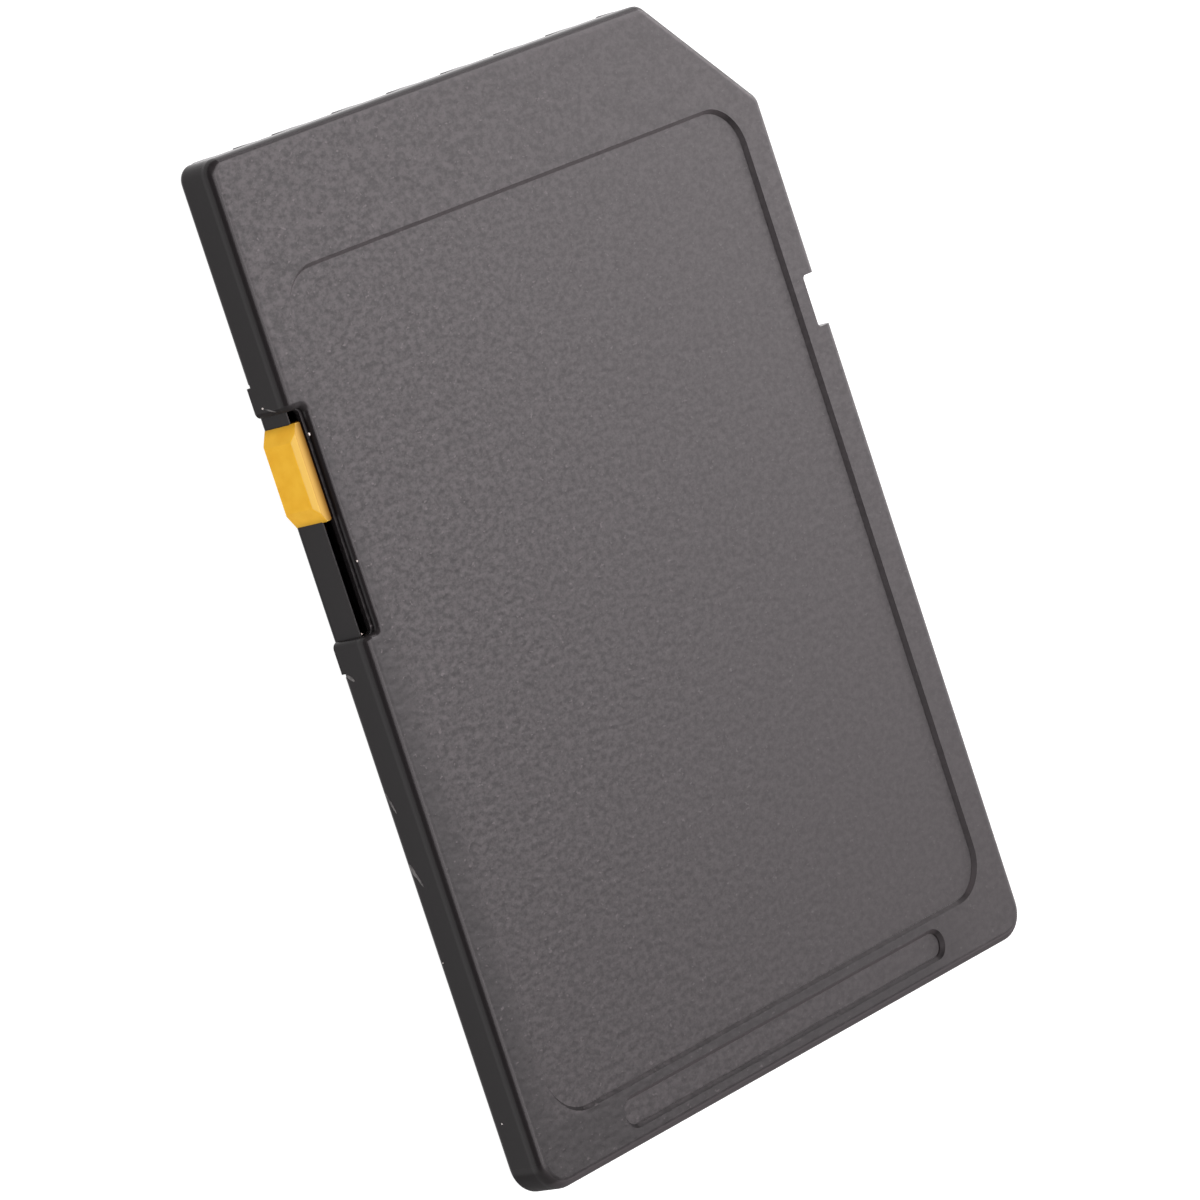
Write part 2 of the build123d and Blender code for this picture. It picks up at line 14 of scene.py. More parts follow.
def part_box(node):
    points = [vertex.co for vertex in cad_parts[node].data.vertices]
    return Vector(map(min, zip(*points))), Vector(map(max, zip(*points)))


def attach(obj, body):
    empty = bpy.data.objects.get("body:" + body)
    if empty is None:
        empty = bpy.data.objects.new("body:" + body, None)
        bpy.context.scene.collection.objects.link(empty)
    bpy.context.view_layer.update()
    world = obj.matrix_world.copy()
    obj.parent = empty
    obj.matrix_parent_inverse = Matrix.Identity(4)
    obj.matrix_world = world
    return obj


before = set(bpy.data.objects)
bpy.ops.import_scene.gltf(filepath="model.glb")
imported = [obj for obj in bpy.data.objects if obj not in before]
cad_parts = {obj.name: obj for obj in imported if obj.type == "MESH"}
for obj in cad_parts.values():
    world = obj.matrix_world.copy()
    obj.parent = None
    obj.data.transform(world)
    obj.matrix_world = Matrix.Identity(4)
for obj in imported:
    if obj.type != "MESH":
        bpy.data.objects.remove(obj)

# A bare memory card that lies label side up on a pale studio floor, seen from above on its switch side.
# Lengths are in metres in the card's own frame: +Y points to the contact end and +Z out of the label face.

MM = 0.001
MICRON = 1e-6
# Points of a grid that lie nearer than this are one
MERGE = 0.01 * MICRON
# The rigid body that every new piece rides on
CARD_BODY = "card"
LOG = logging.getLogger("memory_card")
Colour = tuple[float, float, float]
Point = tuple[float, float, float]
Socket = bpy.types.NodeSocket


class Slot(Enum):
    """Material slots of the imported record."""

    COVER = "cover_plastic"
    SHELL = "shell_plastic"
    BOARD = "board_laminate"
    GOLD = "gold_contact"
    LEAD = "lead_metal"


class PassiveKind(Enum):
    """Colour of each kind of passive's body, and of the flecks in it."""

    RESISTOR = ((0.012, 0.012, 0.013), (0.030, 0.030, 0.032))
    CAPACITOR = ((0.20, 0.115, 0.060), (0.27, 0.165, 0.090))


@dataclass(frozen=True)
class Step:
    """Smooth step: the values where it starts and ends, and the results before and after it."""

    low: float
    high: float
    before: float = 0.0
    after: float = 1.0


@dataclass(frozen=True)
class Grain:
    """Soft noise: width of its features, octaves, strength of each octave, and stretch along each axis."""

    size: float
    detail: float = 2.0
    rough: float = 0.5
    stretch: Point = (1.0, 1.0, 1.0)


# The range that holds most of a noise's values
MIDDLE = Step(0.3, 0.7)
# The moulded grain is drawn out a little across the card
STREAK: Point = (1.4, 1.0, 1.0)


class Shading:
    """Node graph of one finish: a Principled shader, and short calls that add nodes before it."""

    def __init__(self, name: str) -> None:
        """Starts an empty material.

        Args:
            name: Name of the material.
        """
        self.material = bpy.data.materials.new(name)
        self.material.use_nodes = True
        self.tree = self.material.node_tree
        self.tree.nodes.clear()
        self.shader = self.tree.nodes.new("ShaderNodeBsdfPrincipled")
        output = self.tree.nodes.new("ShaderNodeOutputMaterial")
        self.tree.links.new(self.shader.outputs["BSDF"], output.inputs["Surface"])
        self.coordinates = self.tree.nodes.new("ShaderNodeTexCoord")

    @property
    def place(self) -> Socket:
        """Position in the card's frame, in metres."""
        return self.coordinates.outputs["Object"]

    def feed(self, socket: Socket, value: object) -> None:
        """Links a socket to another one, or sets its constant.

        Args:
            socket: Input to fill.
            value: Output socket, number, vector or colour.
        """
        if isinstance(value, Socket):
            self.tree.links.new(value, socket)
        elif socket.type == "RGBA":
            socket.default_value = (*value, 1.0)
        else:
            socket.default_value = value

    def node(self, kind: str, inputs: dict[str | int, object], **settings: object) -> bpy.types.Node:
        """Adds one node.

        Args:
            kind: Blender's name of the node type.
            inputs: Input name or number to its value.
            settings: Attributes of the node that are set before its inputs.

        Returns:
            The new node.
        """
        made = self.tree.nodes.new(kind)
        for key, value in settings.items():
            setattr(made, key, value)
        for key, value in inputs.items():
            self.feed(made.inputs[key], value)
        return made

    def surface(self, **inputs: object) -> None:
        """Fills the shader's own inputs, with underscores for the spaces in their names."""
        for key, value in inputs.items():
            self.feed(self.shader.inputs[key.replace("_", " ")], value)

    def noise(self, grain: Grain) -> Socket:
        """Soft noise between 0 and 1.

        Args:
            grain: The noise's features.

        Returns:
            The noise's value.
        """
        scale = tuple(1.0 / (grain.size * times) for times in grain.stretch)
        spread = self.node("ShaderNodeVectorMath", {0: self.place, 1: scale}, operation="MULTIPLY")
        inputs = {"Vector": spread.outputs[0], "Scale": 1.0, "Detail": grain.detail, "Roughness": grain.rough}
        return self.node("ShaderNodeTexNoise", inputs).outputs["Fac"]

    def rise(self, value: object, step: Step) -> Socket:
        """Takes a value through a smooth step, level outside its two limits.

        Args:
            value: Value that is stepped.
            step: The limits and the results.

        Returns:
            The stepped value.
        """
        inputs = {"Value": value, "From Min": step.low, "From Max": step.high,
                  "To Min": step.before, "To Max": step.after}
        return self.node("ShaderNodeMapRange", inputs, interpolation_type="SMOOTHSTEP").outputs["Result"]

    def math(self, operation: str, first: object, second: object = 0.0) -> Socket:
        """One sum on one or two values, by Blender's name for it."""
        return self.node("ShaderNodeMath", {0: first, 1: second}, operation=operation).outputs[0]

    def product(self, *values: object) -> Socket:
        """Two or more values multiplied, from the first to the last."""
        return functools.reduce(functools.partial(self.math, "MULTIPLY"), values)

    def highest(self, *values: object) -> Socket:
        """The highest of two or more values."""
        return functools.reduce(functools.partial(self.math, "MAXIMUM"), values)

    # A mix node takes its two numbers at inputs 2 and 3, and its two colours at inputs 6 and 7
    def blend(self, share: object, first: object, second: object) -> Socket:
        """Goes from one number to another as the share goes from 0 to 1."""
        inputs = {"Factor": share, 2: first, 3: second}
        return self.node("ShaderNodeMix", inputs, data_type="FLOAT").outputs[0]

    def tint(self, share: object, first: object, second: object) -> Socket:
        """Goes from one colour to another as the share goes from 0 to 1."""
        inputs = {"Factor": share, 6: first, 7: second}
        return self.node("ShaderNodeMix", inputs, data_type="RGBA").outputs[2]

    def axis(self, name: str) -> Socket:
        """One of the position's X, Y and Z values, in metres."""
        return self.node("ShaderNodeSeparateXYZ", {0: self.place}).outputs[name]

    def beyond(self, name: str, middle: float, start: float, blur: float) -> Socket:
        """How far outside a band of one axis a point lies.

        Args:
            name: The axis, X, Y or Z.
            middle: Middle of the band in metres.
            start: Distance from the middle where the result leaves 0.
            blur: Distance from there to where it reaches 1.

        Returns:
            A value from 0 inside the band to 1 outside it, on both sides.
        """
        offset = self.math("SUBTRACT", self.axis(name), middle)
        return self.rise(self.math("ABSOLUTE", offset), Step(start, start + blur))

    def normal(self, name: str) -> Socket:
        """One of the X, Y and Z parts of the surface's normal."""
        return self.node("ShaderNodeSeparateXYZ", {0: self.coordinates.outputs["Normal"]}).outputs[name]

    def relief(self, height: Socket, depth: float, strength: object = 1.0) -> None:
        """Gives the surface a fine relief.

        Args:
            height: Height between 0 and 1.
            depth: Height in metres that 1 stands for.
            strength: Share of the relief that shows, all over or from a mask.
        """
        bump = self.node("ShaderNodeBump", {"Strength": strength, "Distance": depth, "Height": height})
        self.feed(self.shader.inputs["Normal"], bump.outputs["Normal"])


@dataclass(frozen=True)
class MouldedPlastic:
    """Charcoal plastic with a fine grain that is fainter to the right and the rear.

    Its outer edges are rubbed smooth. The rims of its recesses carry a painted highlight where they face
    the rear or the left and a painted shade where they face right, the frame carries a painted shade towards
    the rear of the left edge and behind the recess, and the rear edge is dull, with a painted highlight on
    its fillet.
    """

    name: str
    specular: float = 0.235
    # Dark end of the grain's tone, also used for the painted shade on the frame and on the rims that face
    # right
    dark: Colour = (0.0015, 0.0012, 0.0013)
    pale: Colour = (0.0300, 0.0270, 0.0277)
    fleck: Colour = (0.055, 0.050, 0.051)
    # Painted light on the rims that face the rear or the left, and on the rear edge's fillet
    painted_rim_light: Colour = (0.042, 0.038, 0.039)
    grain: Grain = Grain(0.24 * MM, 1.2, 0.5, STREAK)
    speckle: Grain = Grain(0.18 * MM, 2.0, 0.7, STREAK)
    flecks: Grain = Grain(0.12 * MM, 1.0, 0.5, STREAK)
    speckle_share: Step = Step(0.30, 0.70)
    fleck_share: Step = Step(0.68, 0.80)
    grain_depth: float = 15 * MICRON
    wall_relief: float = 0.10
    wall_tone: float = 0.45
    face_roughness: Step = Step(0.2, 0.8, 0.36, 0.44)
    wall_roughness: float = 0.27
    rear_roughness: float = 0.80
    rim_shade_roughness: float = 1.0
    # Places along one axis where the plastic changes
    rubbed_x: float = 11.12 * MM
    rubbed_y: float = 15.62 * MM
    rubbed_blur: float = 0.1 * MM
    fade_x: Step = Step(-12.0 * MM, 12.0 * MM, 1.0, 0.40)
    fade_y: Step = Step(-14.0 * MM, 4.0 * MM, 0.65, 1.0)
    # Where the painted light on the slanting corners between the rims begins along Y
    rim_light_corner_y: Step = Step(-14.4 * MM, -14.2 * MM)
    # Where the painted shade on the rims that face right fades out along X
    rim_shade_x: Step = Step(-5.0 * MM, -3.0 * MM, 1.0, 0.0)
    # Where the painted shade on the frame lies: towards the rear of the left edge, and behind the recess at
    # the frame's level
    frame_shade_left_x: Step = Step(-11.9 * MM, -10.2 * MM, 0.85, 0.0)
    frame_shade_left_y: Step = Step(5.0 * MM, 11.0 * MM, 1.0, 0.0)
    frame_shade_rear_x: Step = Step(6.0 * MM, 10.5 * MM, 1.0, 0.0)
    frame_shade_rear_y: Step = Step(-14.25 * MM, -14.10 * MM, 0.65, 0.0)
    frame_shade_level: Step = Step(2.03 * MM, 2.07 * MM)
    # Parts of the surface's normal at which it changes
    steep: Step = Step(0.90, 0.985, 1.0, 0.0)
    rear_facing: Step = Step(-0.65, -0.4, 1.0, 0.0)
    left_facing: Step = Step(-0.65, -0.4, 0.45, 0.0)
    slanting: Step = Step(-0.25, -0.10, 0.9, 0.0)
    right_facing: Step = Step(0.0, 0.15, 0.0, 0.8)
    turned_rear: Step = Step(-0.4, -0.1, 0.35, 1.0)
    rear_edge: Step = Step(-0.30, -0.04, 1.0, 0.0)
    rear_fillet: Step = Step(0.05, 0.35, 0.0, 0.6)

    def material(self) -> bpy.types.Material:
        """Makes the finish.

        Returns:
            The material, with its grain in place over the whole card.
        """
        nodes = Shading(self.name)
        beside = nodes.beyond("X", 0.0, self.rubbed_x, self.rubbed_blur)
        behind = nodes.beyond("Y", 0.0, self.rubbed_y, self.rubbed_blur)
        steep = nodes.rise(nodes.math("ABSOLUTE", nodes.normal("Z")), self.steep)
        rubbed = nodes.product(nodes.highest(beside, behind), steep)
        grained = nodes.math("SUBTRACT", 1.0, rubbed)
        fade = nodes.product(nodes.rise(nodes.axis("X"), self.fade_x),
                             nodes.rise(nodes.axis("Y"), self.fade_y))
        # Mask of the painted shade on the rims that face right; there the grain's relief is also taken away
        # and the plastic is fully rough
        rim_shade_mask = self.rim_shade_mask(nodes)
        grain = nodes.noise(self.grain)
        bumps = nodes.blend(rim_shade_mask, fade, 0.0)
        nodes.relief(grain, self.grain_depth, nodes.blend(grained, self.wall_relief, bumps))
        strength = nodes.product(grained, fade)
        speckle = nodes.rise(nodes.noise(self.speckle), self.speckle_share)
        tone = nodes.tint(nodes.blend(strength, self.wall_tone, speckle), self.dark, self.pale)
        # Painted shade on the frame
        tone = nodes.tint(nodes.product(self.frame_shade_mask(nodes), grained), tone, self.dark)
        # Painted light on the rims that face the rear or the left
        tone = nodes.tint(nodes.product(self.rim_light_mask(nodes), grained), tone, self.painted_rim_light)
        # Painted shade on the rims that face right
        tone = nodes.tint(rim_shade_mask, tone, self.dark)
        rear_edge = nodes.rise(nodes.normal("Y"), self.rear_edge)
        fillet = nodes.rise(nodes.normal("Z"), self.rear_fillet)
        # Painted light on the rear edge's fillet
        tone = nodes.tint(nodes.product(rear_edge, fillet, behind), tone, self.painted_rim_light)
        flecks = nodes.rise(nodes.noise(self.flecks), self.fleck_share)
        rough = nodes.blend(rim_shade_mask, nodes.rise(grain, self.face_roughness), self.rim_shade_roughness)
        wall_rough = nodes.blend(rear_edge, self.wall_roughness, self.rear_roughness)
        nodes.surface(
            Base_Color=nodes.tint(nodes.product(flecks, strength), tone, self.fleck),
            Roughness=nodes.blend(grained, wall_rough, rough),
            Specular_IOR_Level=self.specular,
        )
        return nodes.material

    def frame_shade_mask(self, nodes: Shading) -> Socket:
        """Mask of the painted shade on the frame.

        Args:
            nodes: The finish's node graph.

        Returns:
            A value that rises towards the rear of the left edge, and over the level frame behind the recess.
        """
        left = nodes.product(nodes.rise(nodes.axis("X"), self.frame_shade_left_x),
                             nodes.rise(nodes.axis("Y"), self.frame_shade_left_y))
        rear = nodes.product(nodes.rise(nodes.axis("Y"), self.frame_shade_rear_y),
                             nodes.rise(nodes.axis("X"), self.frame_shade_rear_x),
                             nodes.rise(nodes.axis("Z"), self.frame_shade_level))
        return nodes.highest(left, rear)

    def rim_light_mask(self, nodes: Shading) -> Socket:
        """Mask of painted light on rims facing the rear or the left, and on slanting corners between them.

        Args:
            nodes: The finish's node graph.

        Returns:
            A value that rises to the strength of the painted light on each of these rims.
        """
        slant = nodes.product(nodes.normal("X"), nodes.normal("Y"))
        corners_between = nodes.product(nodes.rise(slant, self.slanting),
                                        nodes.rise(nodes.axis("Y"), self.rim_light_corner_y))
        return nodes.highest(nodes.rise(nodes.normal("Y"), self.rear_facing),
                             nodes.rise(nodes.normal("X"), self.left_facing), corners_between)

    def rim_shade_mask(self, nodes: Shading) -> Socket:
        """Mask of painted shade on the left rims of the recesses, which face right and away from the lights.

        Args:
            nodes: The finish's node graph.

        Returns:
            A value that rises to the strength of the painted shade, and is weaker where the rims turn to the
            rear.
        """
        return nodes.product(nodes.rise(nodes.normal("X"), self.right_facing),
                             nodes.rise(nodes.axis("X"), self.rim_shade_x),
                             nodes.rise(nodes.normal("Y"), self.turned_rear))


@dataclass(frozen=True)
class SwitchPlastic:
    """Smooth yellow plastic, uneven in tone, with a painted highlight on its bevels, a painted shade on its
    upper face, and a painted shade that deepens towards the slot.
    """

    name: str = "yellow_switch_plastic"
    colour: Colour = (0.90, 0.51, 0.040)
    deep: Colour = (0.84, 0.44, 0.026)
    # Painted highlight on the bevels
    bevel_highlight: Colour = (0.69, 0.45, 0.100)
    # Painted shade on the upper face
    upper_face_shade: Colour = (0.40, 0.245, 0.050)
    # Painted shade that deepens towards the slot
    shaded: Colour = (0.08, 0.032, 0.001)
    cloud: Grain = Grain(0.6 * MM, 3.0)
    fine: Grain = Grain(0.05 * MM)
    fine_depth: float = 1.2 * MICRON
    bevel_tilt: Step = Step(0.3, 0.6)
    top_tilt: Step = Step(0.85, 0.97)
    inward_x: Step = Step(-11.93 * MM, -11.55 * MM)
    roughness: Step = Step(0.2, 0.8, 0.45, 0.55)
    shaded_roughness: float = 0.85
    specular: float = 0.07

    def material(self) -> bpy.types.Material:
        """Makes the finish.

        Returns:
            The material.
        """
        nodes = Shading(self.name)
        fine = nodes.noise(self.fine)
        nodes.relief(fine, self.fine_depth)
        face = nodes.tint(nodes.rise(nodes.noise(self.cloud), MIDDLE), self.deep, self.colour)
        # Painted highlight on the bevels
        face = nodes.tint(nodes.rise(nodes.normal("Z"), self.bevel_tilt), face, self.bevel_highlight)
        # Painted shade on the upper face
        face = nodes.tint(nodes.rise(nodes.normal("Z"), self.top_tilt), face, self.upper_face_shade)
        # Painted shade that deepens towards the slot, where the plastic is also rougher
        inward = nodes.rise(nodes.axis("X"), self.inward_x)
        nodes.surface(
            Base_Color=nodes.tint(inward, face, self.shaded),
            Roughness=nodes.blend(inward, nodes.rise(fine, self.roughness), self.shaded_roughness),
            Specular_IOR_Level=self.specular,
        )
        return nodes.material


@dataclass(frozen=True)
class RubbedPlastic:
    """Plastic whitened where the card has been scraped, patchy along the scrape."""

    name: str = "whitened_plastic"
    dull: Colour = (0.030, 0.028, 0.028)
    bright: Colour = (0.135, 0.128, 0.125)
    patches: Grain = Grain(0.22 * MM)
    patch_share: Step = Step(0.35, 0.62)
    fine: Grain = Grain(0.03 * MM)
    fine_depth: float = 3 * MICRON
    dull_roughness: float = 0.45
    bright_roughness: float = 0.6
    specular: float = 0.4

    def material(self) -> bpy.types.Material:
        """Makes the finish.

        Returns:
            The material.
        """
        nodes = Shading(self.name)
        patches = nodes.rise(nodes.noise(self.patches), self.patch_share)
        nodes.relief(nodes.noise(self.fine), self.fine_depth)
        nodes.surface(
            Base_Color=nodes.tint(patches, self.dull, self.bright),
            Roughness=nodes.blend(patches, self.dull_roughness, self.bright_roughness),
            Specular_IOR_Level=self.specular,
        )
        return nodes.material


@dataclass(frozen=True)
class Dust:
    """Pale dust with a warm tone that varies from grain to grain."""

    name: str = "pale_dust"
    warm: Colour = (0.52, 0.44, 0.39)
    white: Colour = (0.82, 0.78, 0.75)
    tone: Grain = Grain(0.4 * MM, 1.0)
    fine: Grain = Grain(0.015 * MM)
    fine_depth: float = 3 * MICRON
    roughness: float = 0.8

    def material(self) -> bpy.types.Material:
        """Makes the finish.

        Returns:
            The material.
        """
        nodes = Shading(self.name)
        tone = nodes.rise(nodes.noise(self.tone), MIDDLE)
        nodes.relief(nodes.noise(self.fine), self.fine_depth)
        nodes.surface(Base_Color=nodes.tint(tone, self.warm, self.white), Roughness=self.roughness)
        return nodes.material


@dataclass(frozen=True)
class Laminate:
    """Green solder mask over woven glass, whose threads show as a faint weave."""

    name: str = "green_board_laminate"
    colour: Colour = (0.010, 0.075, 0.032)
    pale: Colour = (0.022, 0.120, 0.055)
    thread: float = 0.22 * MM
    weave_range: Step = Step(-1.0, 1.0)
    weave_depth: float = 6 * MICRON
    weave_relief: float = 0.5
    cloud: Grain = Grain(1.2 * MM, 3.0)
    roughness: Step = Step(0.3, 0.7, 0.28, 0.42)
    specular: float = 0.5

    def material(self) -> bpy.types.Material:
        """Makes the finish.

        Returns:
            The material, whose tone is the mean of the weave and a soft cloud.
        """
        nodes = Shading(self.name)
        turns = 2.0 * math.pi / self.thread
        waves = [nodes.math("SINE", nodes.product(nodes.axis(name), turns)) for name in "XY"]
        weave = nodes.rise(nodes.product(*waves), self.weave_range)
        cloud = nodes.noise(self.cloud)
        nodes.relief(weave, self.weave_depth, self.weave_relief)
        share = nodes.product(nodes.math("ADD", weave, cloud), 0.5)
        nodes.surface(
            Base_Color=nodes.tint(share, self.colour, self.pale),
            Roughness=nodes.rise(cloud, self.roughness),
            Specular_IOR_Level=self.specular,
        )
        return nodes.material


@dataclass(frozen=True)
class Metal:
    """Plated metal with fine marks drawn along the card and a tone that varies from place to place."""

    name: str
    colour: Colour
    worn: Colour
    roughness: float
    mark_width: float
    mark_length: float
    mark_detail: float = 2.0
    mark_rough: float = 0.6
    mark_depth: float = 1.5 * MICRON
    mark_share: Step = Step(0.45, 0.75)
    cloud: Grain = Grain(0.9 * MM)
    smoother: float = 0.06
    rougher: float = 0.10

    def material(self) -> bpy.types.Material:
        """Makes the finish.

        Returns:
            The material.
        """
        nodes = Shading(self.name)
        drawn = (1.0, self.mark_length, 1.0)
        marks = nodes.noise(Grain(self.mark_width, self.mark_detail, self.mark_rough, drawn))
        nodes.relief(marks, self.mark_depth)
        share = nodes.product(nodes.rise(marks, self.mark_share), nodes.rise(nodes.noise(self.cloud), MIDDLE))
        rough = Step(MIDDLE.low, MIDDLE.high, self.roughness - self.smoother, self.roughness + self.rougher)
        nodes.surface(
            Base_Color=nodes.tint(share, self.colour, self.worn),
            Metallic=1.0,
            Roughness=nodes.rise(marks, rough),
        )
        return nodes.material


# Gold carries the fine lines that a host's springs draw along it
GOLD = Metal("gold_plating", colour=(0.92, 0.62, 0.22), worn=(0.74, 0.46, 0.15), roughness=0.22,
             mark_width=0.03 * MM, mark_length=30.0)
SOLDER = Metal("tin_solder", colour=(0.60, 0.60, 0.58), worn=(0.42, 0.42, 0.41), roughness=0.30,
               mark_width=0.06 * MM, mark_length=1.5)
COPPER = Metal("masked_copper", colour=(0.30, 0.36, 0.13), worn=(0.22, 0.30, 0.10), roughness=0.34,
               mark_width=0.05 * MM, mark_length=6.0)
TIN = Metal("tinned_lead", colour=(0.66, 0.66, 0.64), worn=(0.50, 0.50, 0.49), roughness=0.28,
            mark_width=0.05 * MM, mark_length=3.0)


@dataclass(frozen=True)
class ChipMoulding:
    """Black filled resin with a speckle of filler and a pale printed dot at the first pin."""

    name: str
    dot: tuple[float, float]
    dot_radius: float
    dot_blur: float = 0.05
    colour: Colour = (0.011, 0.011, 0.012)
    filler: Colour = (0.045, 0.045, 0.046)
    print_colour: Colour = (0.42, 0.42, 0.40)
    grit: Grain = Grain(0.05 * MM, 2.0, 0.6)
    grit_depth: float = 4 * MICRON
    filler_share: Step = Step(0.5, 0.75)
    roughness: Step = Step(0.3, 0.7, 0.50, 0.66)
    specular: float = 0.4

    def material(self) -> bpy.types.Material:
        """Makes the finish.

        Returns:
            The material, with the dot found by its distance from the first pin's mark.
        """
        nodes = Shading(self.name)
        grit = nodes.noise(self.grit)
        nodes.relief(grit, self.grit_depth)
        resin = nodes.tint(nodes.rise(grit, self.filler_share), self.colour, self.filler)
        offsets = [nodes.math("SUBTRACT", nodes.axis(name), value) for name, value in zip("XY", self.dot)]
        squares = [nodes.product(offset, offset) for offset in offsets]
        reach = nodes.math("SQRT", nodes.math("ADD", *squares))
        blur = self.dot_blur * self.dot_radius
        dot = nodes.rise(reach, Step(self.dot_radius - blur, self.dot_radius + blur, 1.0, 0.0))
        nodes.surface(
            Base_Color=nodes.tint(dot, resin, self.print_colour),
            Roughness=nodes.rise(grit, self.roughness),
            Specular_IOR_Level=self.specular,
        )
        return nodes.material


@dataclass(frozen=True)
class PassiveBody:
    """Two-terminal chip part: a coloured body between two tinned ends."""

    name: str
    middle_y: float
    half_body: float
    colour: Colour
    fleck: Colour
    tin: Colour = (0.62, 0.62, 0.60)
    blur: float = 0.01 * MM
    grit: Grain = Grain(0.06 * MM)
    grit_depth: float = 3 * MICRON
    fleck_share: Step = Step(0.35, 0.65)
    body_roughness: float = 0.55
    tin_roughness: Step = Step(0.3, 0.7, 0.25, 0.40)

    def material(self) -> bpy.types.Material:
        """Makes the finish.

        Returns:
            The material, with the ends found by their distance from the part's middle.
        """
        nodes = Shading(self.name)
        ends = nodes.beyond("Y", self.middle_y, self.half_body, self.blur)
        grit = nodes.noise(self.grit)
        nodes.relief(grit, self.grit_depth)
        body = nodes.tint(nodes.rise(grit, self.fleck_share), self.colour, self.fleck)
        nodes.surface(
            Base_Color=nodes.tint(ends, body, self.tin),
            Metallic=ends,
            Roughness=nodes.blend(ends, self.body_roughness, nodes.rise(grit, self.tin_roughness)),
        )
        return nodes.material


def grid_object(name: str, points: np.ndarray, wrap_u: bool = False,
                wrap_v: bool = False) -> bpy.types.Object:
    """Turns one or more grids of points into a mesh of quads, with points that coincide made one.

    Point (i, j) of a grid joins (i + 1, j), (i + 1, j + 1) and (i, j + 1), and a wrapped direction also joins
    its last row to its first. A row of coinciding points becomes a pole.

    Args:
        name: Name of the object and its mesh.
        points: Array of grids, rows, columns and x, y, z.
        wrap_u: Whether the rows close into a ring.
        wrap_v: Whether the columns close into a ring.

    Returns:
        The object, linked to the scene, with its faces outwards.
    """
    grids, rows, columns = points.shape[:3]
    number = np.arange(grids * rows * columns).reshape(grids, rows, columns)
    if wrap_u:
        number = np.concatenate([number, number[:, :1]], axis=1)
    if wrap_v:
        number = np.concatenate([number, number[:, :, :1]], axis=2)
    around = [number[:, :-1, :-1], number[:, 1:, :-1], number[:, 1:, 1:], number[:, :-1, 1:]]
    faces = np.stack(around, axis=-1).reshape(-1, 4)
    mesh = bpy.data.meshes.new(name)
    mesh.from_pydata(points.reshape(-1, 3).tolist(), [], faces.tolist())
    shape = bmesh.new()
    shape.from_mesh(mesh)
    bmesh.ops.remove_doubles(shape, verts=shape.verts, dist=MERGE)
    bmesh.ops.recalc_face_normals(shape, faces=shape.faces)
    shape.to_mesh(mesh)
    shape.free()
    mesh.shade_smooth()
    made = bpy.data.objects.new(name, mesh)
    bpy.context.scene.collection.objects.link(made)
    return made


def circle(count: int) -> np.ndarray:
    """Angles of a number of points spread evenly round a circle."""
    return np.arange(count) * 2 * np.pi / count


def in_metres(lengths: Sequence[float | tuple[float, ...]]) -> np.ndarray:
    """Millimetres, or rows of them, as an array of metres."""
    return np.array(lengths) * MM


def points_at(x: object, y: object, z: object) -> np.ndarray:
    """Points from their X, Y and Z, each an array or one number for all of them."""
    return np.stack(np.broadcast_arrays(x, y, z), axis=-1)


def lumps(centres: np.ndarray, radii: np.ndarray, rows: int = 9, columns: int = 14,
          ripple: float = 0.16) -> np.ndarray:
    """Closed uneven grains.

    Latitude t runs from pole to pole and longitude s round the grain. A point lies at its centre plus its
    three radii times (sin t cos s, sin t sin s, cos t), and the first two are scaled by 1 plus a ripple of
    sin(3 s + n) times sin t, where n is the grain's number.

    Args:
        centres: One row of x, y, z for each grain.
        radii: One row of three radii for each grain.
        rows: Points from pole to pole.
        columns: Points round a grain.
        ripple: Depth of the unevenness as a share of the radius.

    Returns:
        Grids of points that wrap round their columns.
    """
    t, s = np.meshgrid(np.linspace(0.0, np.pi, rows), circle(columns), indexing="ij")
    number = np.arange(len(centres))[:, None, None]
    uneven = 1.0 + ripple * np.sin(3 * s + number) * np.sin(t)
    shape = points_at(np.sin(t) * np.cos(s) * uneven, np.sin(t) * np.sin(s) * uneven, np.cos(t))
    return centres[:, None, None, :] + shape * radii[:, None, None, :]


def ridges(paths: np.ndarray, out: np.ndarray, width: np.ndarray, height: np.ndarray, columns: int = 10,
           tip: float = 0.5) -> np.ndarray:
    """Closed ridges: an ellipse carried along a path and drawn to a point at both ends.

    At the share u of its path the ellipse is scaled by sin(pi u) to the power of the tip. Its point at angle
    a lies at the path plus half its width times cos a across the path, and its height times sin a outwards.

    Args:
        paths: Paths by rows of points and x, y, z.
        out: Outward direction of each path.
        width: Full width of each ridge.
        height: Height of each ridge over its path.
        columns: Points round the ellipse.
        tip: How bluntly the ends close: small is blunt.

    Returns:
        Grids of points that wrap round their columns.
    """
    along = np.gradient(paths, axis=1)
    across = np.cross(along, out[:, None, :])
    across /= np.linalg.norm(across, axis=-1, keepdims=True)
    taper = np.sin(np.linspace(0.0, np.pi, paths.shape[1])).clip(0.0)[None, :, None, None] ** tip
    angle = circle(columns)[None, None, :, None]
    side = across[:, :, None, :] * np.cos(angle) * (width / 2)[:, None, None, None]
    rise = out[:, None, None, :] * np.sin(angle) * height[:, None, None, None]
    return paths[:, :, None, :] + taper * (side + rise)


